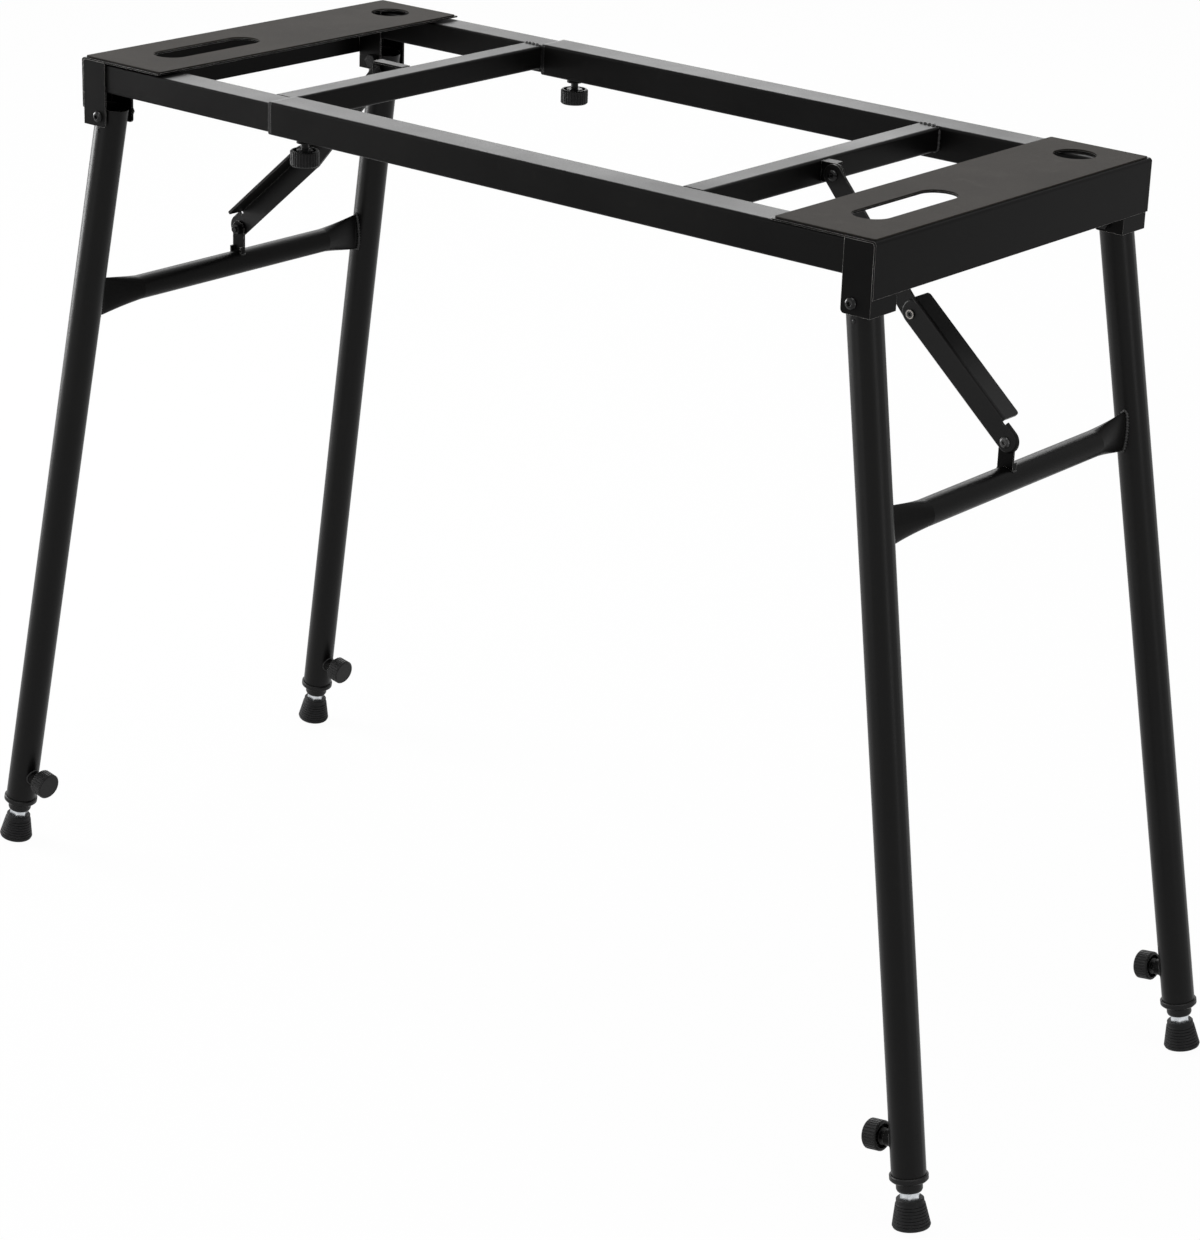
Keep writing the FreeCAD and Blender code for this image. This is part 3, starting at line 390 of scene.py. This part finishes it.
def white_for_eye(tree, lit_shader, share):
    """A shader that turns towards plain white where the camera or a mirror-like ray sees it."""
    path = tree.nodes.new("ShaderNodeLightPath")
    seen = tree.nodes.new("ShaderNodeMath")
    seen.operation = "MAXIMUM"
    tree.links.new(path.outputs["Is Camera Ray"], seen.inputs[0])
    through = tree.nodes.new("ShaderNodeMath")
    through.operation = "MAXIMUM"
    tree.links.new(path.outputs["Is Transmission Ray"], through.inputs[0])
    tree.links.new(path.outputs["Is Glossy Ray"], through.inputs[1])
    tree.links.new(through.outputs[0], seen.inputs[1])
    factor = tree.nodes.new("ShaderNodeMath")
    factor.operation = "MULTIPLY"
    tree.links.new(seen.outputs[0], factor.inputs[0])
    factor.inputs[1].default_value = share
    glow = tree.nodes.new("ShaderNodeEmission")
    mix = tree.nodes.new("ShaderNodeMixShader")
    tree.links.new(factor.outputs[0], mix.inputs[0])
    tree.links.new(lit_shader, mix.inputs[1])
    tree.links.new(glow.outputs[0], mix.inputs[2])
    return mix.outputs[0]


def studio():
    """Pale floor, white surroundings and soft light."""
    bpy.ops.mesh.primitive_plane_add(size=FLOOR_SIZE)
    floor = bpy.context.object
    floor.name = "studio_floor"
    material = bpy.data.materials.new("pale_floor")
    material.use_nodes = True
    tree = material.node_tree
    shader = tree.nodes["Principled BSDF"]
    shader.inputs["Base Color"].default_value = (FLOOR_SHADE, FLOOR_SHADE, FLOOR_SHADE, 1.0)
    shader.inputs["Roughness"].default_value = FLOOR_ROUGHNESS
    mixed = white_for_eye(tree, shader.outputs[0], FLOOR_WHITE_SHARE)
    tree.links.new(mixed, tree.nodes["Material Output"].inputs["Surface"])
    floor.data.materials.append(material)

    world = bpy.data.worlds.new("studio_world")
    bpy.context.scene.world = world
    world.use_nodes = True
    tree = world.node_tree
    dim = tree.nodes["Background"]
    dim.inputs["Strength"].default_value = WORLD_LEVEL
    mixed = white_for_eye(tree, dim.outputs[0], 1.0)
    tree.links.new(mixed, tree.nodes["World Output"].inputs["Surface"])

    for lamp in LAMPS:
        softbox(*lamp)


def camera():
    """Camera with the photograph's place, direction, roll and lens."""
    data = bpy.data.cameras.new("photo_camera")
    data.sensor_fit = "VERTICAL"
    data.sensor_height = SENSOR_HEIGHT
    data.lens = CAMERA_LENS
    obj = bpy.data.objects.new("photo_camera", data)
    bpy.context.scene.collection.objects.link(obj)
    turn = Matrix.Rotation(math.radians(CAMERA_AZIMUTH), 4, "Z")
    tilt = Matrix.Rotation(math.radians(90.0 - CAMERA_PITCH), 4, "X")
    roll = Matrix.Rotation(math.radians(CAMERA_ROLL), 4, "Z")
    obj.matrix_world = Matrix.Translation(CAMERA_PLACE) @ turn @ tilt @ roll
    bpy.context.scene.camera = obj


def bead(name, points, radius, body, material, closed=False,
         ripple=BEAD_RIPPLE, pitch=BEAD_PITCH):
    """A welded bead: a tube along points whose thickness rises and falls with each ripple."""
    path = [Vector(point) for point in points]
    if closed:
        path.append(path[0].copy())
    lengths = [0.0]
    for first, last in zip(path, path[1:]):
        lengths.append(lengths[-1] + (last - first).length)
    steps = max(BEAD_MIN_STEPS, int(lengths[-1] / (pitch / BEAD_STEPS_PER_PITCH)))
    mesh = bmesh.new()
    rings = []
    segment = 0
    side = None
    for step in range(steps if closed else steps + 1):
        along = lengths[-1] * step / steps
        while segment < len(path) - 2 and along > lengths[segment + 1]:
            segment += 1
        run = path[segment + 1] - path[segment]
        centre = path[segment] + run * ((along - lengths[segment]) / max(run.length, BEAD_LEAST_RUN))
        forward = run.normalized()
        if side is None:
            side = forward.orthogonal().normalized()
        side = (side - forward * side.dot(forward)).normalized()
        up = forward.cross(side)
        phase = 2 * math.pi * along / pitch
        wave = BEAD_WAVE * math.sin(BEAD_WAVE_RATE * phase + BEAD_WAVE_SHIFT)
        size = radius * (1.0 + ripple * math.sin(phase) + wave)
        if not closed:
            from_end = min(along, lengths[-1] - along) / (BEAD_TAPER_RADII * radius)
            size *= min(1.0, BEAD_END_SHARE + (1.0 - BEAD_END_SHARE) * from_end)
        ring = []
        for index in range(BEAD_SIDES):
            angle = 2 * math.pi * index / BEAD_SIDES
            ring.append(mesh.verts.new(centre + side * size * math.cos(angle) + up * size * math.sin(angle)))
        rings.append(ring)
    pairs = list(zip(rings, rings[1:]))
    if closed:
        pairs.append((rings[-1], rings[0]))
    for first, last in pairs:
        for index in range(BEAD_SIDES):
            following = (index + 1) % BEAD_SIDES
            mesh.faces.new((first[index], first[following], last[following], last[index]))
    if not closed:
        mesh.faces.new(list(reversed(rings[0])))
        mesh.faces.new(rings[-1])
    add_piece(name, mesh, body, material)


def add_piece(name, mesh, body, material):
    """Turns mesh data into a smooth piece that rides on a body."""
    bmesh.ops.recalc_face_normals(mesh, faces=mesh.faces)
    for face in mesh.faces:
        face.smooth = True
    data = bpy.data.meshes.new(name)
    mesh.to_mesh(data)
    mesh.free()
    data.materials.append(material)
    obj = bpy.data.objects.new(name, data)
    bpy.context.scene.collection.objects.link(obj)
    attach(obj, body)


def turned(name, profile, place, direction, body, material, sides):
    """A turned piece: a profile of (radius, distance) points round an axis."""
    mesh = bmesh.new()
    turn = Vector((0.0, 0.0, 1.0)).rotation_difference(Vector(direction)).to_matrix()
    rings = []
    for radius, along in profile:
        ring = []
        for index in range(sides):
            angle = 2 * math.pi * index / sides
            local = Vector((radius * math.cos(angle), radius * math.sin(angle), along))
            ring.append(mesh.verts.new(Vector(place) + turn @ local))
        rings.append(ring)
    for first, last in zip(rings, rings[1:]):
        for index in range(sides):
            following = (index + 1) % sides
            mesh.faces.new((first[index], first[following], last[following], last[index]))
    mesh.faces.new(list(reversed(rings[0])))
    mesh.faces.new(rings[-1])
    add_piece(name, mesh, body, material)


class Leg:
    """One leg's axis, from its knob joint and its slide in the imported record."""

    def __init__(self, side, end):
        self.side = side
        self.end = end
        self.body = side + "_leg_frame"
        joints = {joint["name"]: joint for joint in frame["joints"]}
        self.down = Vector(joints[side + "_" + end + "_leg_slide"]["axis"])
        self.knob = Vector(joints[side + "_" + end + "_leg_knob_turn"]["pos_m"])
        self.knob_axis = Vector(joints[side + "_" + end + "_leg_knob_turn"]["axis"])
        fold = joints[side + "_leg_fold"]["pos_m"]
        self.pivot = Vector((fold[0], 0.0, fold[2]))
        reach = (self.pivot.z - self.knob.z) / self.down.z
        self.pivot.y = self.knob.y + self.down.y * reach
        self.radius = LEG_RADIUS

    def at_height(self, z):
        """The point on the leg's axis at a height."""
        return self.pivot + self.down * ((z - self.pivot.z) / self.down.z)

    def inner_face(self, x, z):
        """The point on the tube's inward side, along Y, at a given X and height."""
        centre = self.at_height(z)
        offset = (x - centre.x) * abs(self.down.z)
        depth = math.sqrt(max(0.0, self.radius ** 2 - offset ** 2))
        toward_middle = 1.0 if self.end == "front" else -1.0
        return Vector((x, centre.y + toward_middle * depth, z))


def cross_member_welds(material):
    """Beads where each cross member meets the two rails."""
    for side, body in (("right", "right_frame"), ("left", "left_frame")):
        low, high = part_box(side + "_cross_member")
        for end, y in (("front", low.y), ("back", high.y)):
            inset = CROSS_MEMBER_BEAD_INSET
            path = [
                (low.x, y, high.z - inset), (low.x, y, low.z + inset), (low.x + inset, y, low.z),
                (high.x - inset, y, low.z), (high.x, y, low.z + inset), (high.x, y, high.z - inset)]
            bead(f"{side}_{end}_cross_member_weld", path, CROSS_MEMBER_BEAD_RADIUS, body,
                 material)
        top_low = low.x + TOP_BEAD_LOW_INSET
        top_high = high.x - TOP_BEAD_HIGH_INSET
        path = [(top_low, high.y, high.z), (top_high, high.y - TOP_BEAD_SLANT, high.z)]
        bead(f"{side}_back_top_weld", path, TOP_BEAD_RADIUS, body, material,
             ripple=TOP_BEAD_RIPPLE, pitch=TOP_BEAD_PITCH)


def crossbar_welds(legs, material):
    """Beads round the flattened crossbar ends, on the leg tubes."""
    for leg in legs:
        low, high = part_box(leg.side + "_crossbar")
        centre_x = (low.x + high.x) / 2
        centre_z = (low.z + high.z) / 2
        half_tall = (high.z - low.z) / 2
        path = []
        for index in range(CROSSBAR_BEAD_POINTS):
            angle = 2 * math.pi * index / CROSSBAR_BEAD_POINTS
            x = centre_x + CROSSBAR_FLAT_HALF * math.cos(angle)
            z = centre_z + half_tall * math.sin(angle)
            path.append(leg.inner_face(x, z))
        bead(f"{leg.side}_{leg.end}_crossbar_weld", path, CROSSBAR_BEAD_RADIUS, leg.body,
             material, closed=True, ripple=CROSSBAR_BEAD_RIPPLE, pitch=CROSSBAR_BEAD_PITCH)


def saddle_welds(material):
    """Beads along both feet of each crossbar saddle."""
    for side in ("right", "left"):
        low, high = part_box(side + "_crossbar_saddle")
        bar_low, bar_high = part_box(side + "_crossbar")
        centre_x = (bar_low.x + bar_high.x) / 2
        centre_z = (bar_low.z + bar_high.z) / 2
        half = (high.x - low.x) / 2
        foot_z = centre_z + math.sqrt(CROSSBAR_RADIUS ** 2 - half ** 2)
        for name, x in (("outer", centre_x + half), ("inner", centre_x - half)):
            path = [(x, low.y, foot_z), (x, high.y, foot_z)]
            body = side + "_leg_frame"
            bead(f"{side}_saddle_weld_{name}", path, SADDLE_BEAD_RADIUS, body, material)


def boss_welds(legs, material):
    """Ring beads round the threaded bosses on the legs and under the rails."""
    for leg in legs:
        turn = Vector((0.0, 0.0, 1.0)).rotation_difference(leg.knob_axis).to_matrix()
        path = []
        for index in range(BOSS_BEAD_POINTS):
            angle = 2 * math.pi * index / BOSS_BEAD_POINTS
            local = turn @ Vector((BOSS_RADIUS * math.cos(angle), BOSS_RADIUS * math.sin(angle), 0.0))
            across = local - leg.down * local.dot(leg.down)
            depth = math.sqrt(leg.radius ** 2 - across.length ** 2)
            path.append(leg.knob + local + leg.knob_axis * depth)
        bead(f"{leg.side}_{leg.end}_boss_weld", path, BOSS_BEAD_RADIUS, leg.body, material,
             closed=True)
    low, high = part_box("rail_clamp_bosses")
    for end, y in (("front", low.y + BOSS_RADIUS), ("back", high.y - BOSS_RADIUS)):
        path = []
        for index in range(BOSS_BEAD_POINTS):
            angle = 2 * math.pi * index / BOSS_BEAD_POINTS
            x = (low.x + high.x) / 2 + BOSS_RADIUS * math.cos(angle)
            path.append((x, y + BOSS_RADIUS * math.sin(angle), high.z))
        bead(f"{end}_rail_boss_weld", path, BOSS_BEAD_RADIUS, "right_frame", material,
             closed=True)


def leg_rivets(legs, material):
    """A small domed rivet on each leg just below its pivot bolt."""
    for leg in legs:
        outward = Vector((0.0, -1.0 if leg.end == "front" else 1.0, 0.0))
        outward = (outward - leg.down * outward.dot(leg.down)).normalized()
        place = leg.pivot + leg.down * RIVET_DROP + outward * (leg.radius - RIVET_SINK)
        profile = [(share * RIVET_RADIUS, height) for share, height in RIVET_PROFILE]
        turned(f"{leg.side}_{leg.end}_leg_rivet", profile, place, outward, leg.body, material,
               RIVET_SIDES)


finishes = finish_nodes()
weld = weld_metal()
legs = [Leg(side, end) for side in ("right", "left") for end in ("front", "back")]
cross_member_welds(weld)
crossbar_welds(legs, weld)
saddle_welds(weld)
boss_welds(legs, weld)
leg_rivets(legs, finishes["black_steel"])
studio()
camera()
bpy.context.scene.view_settings.view_transform = "Standard"
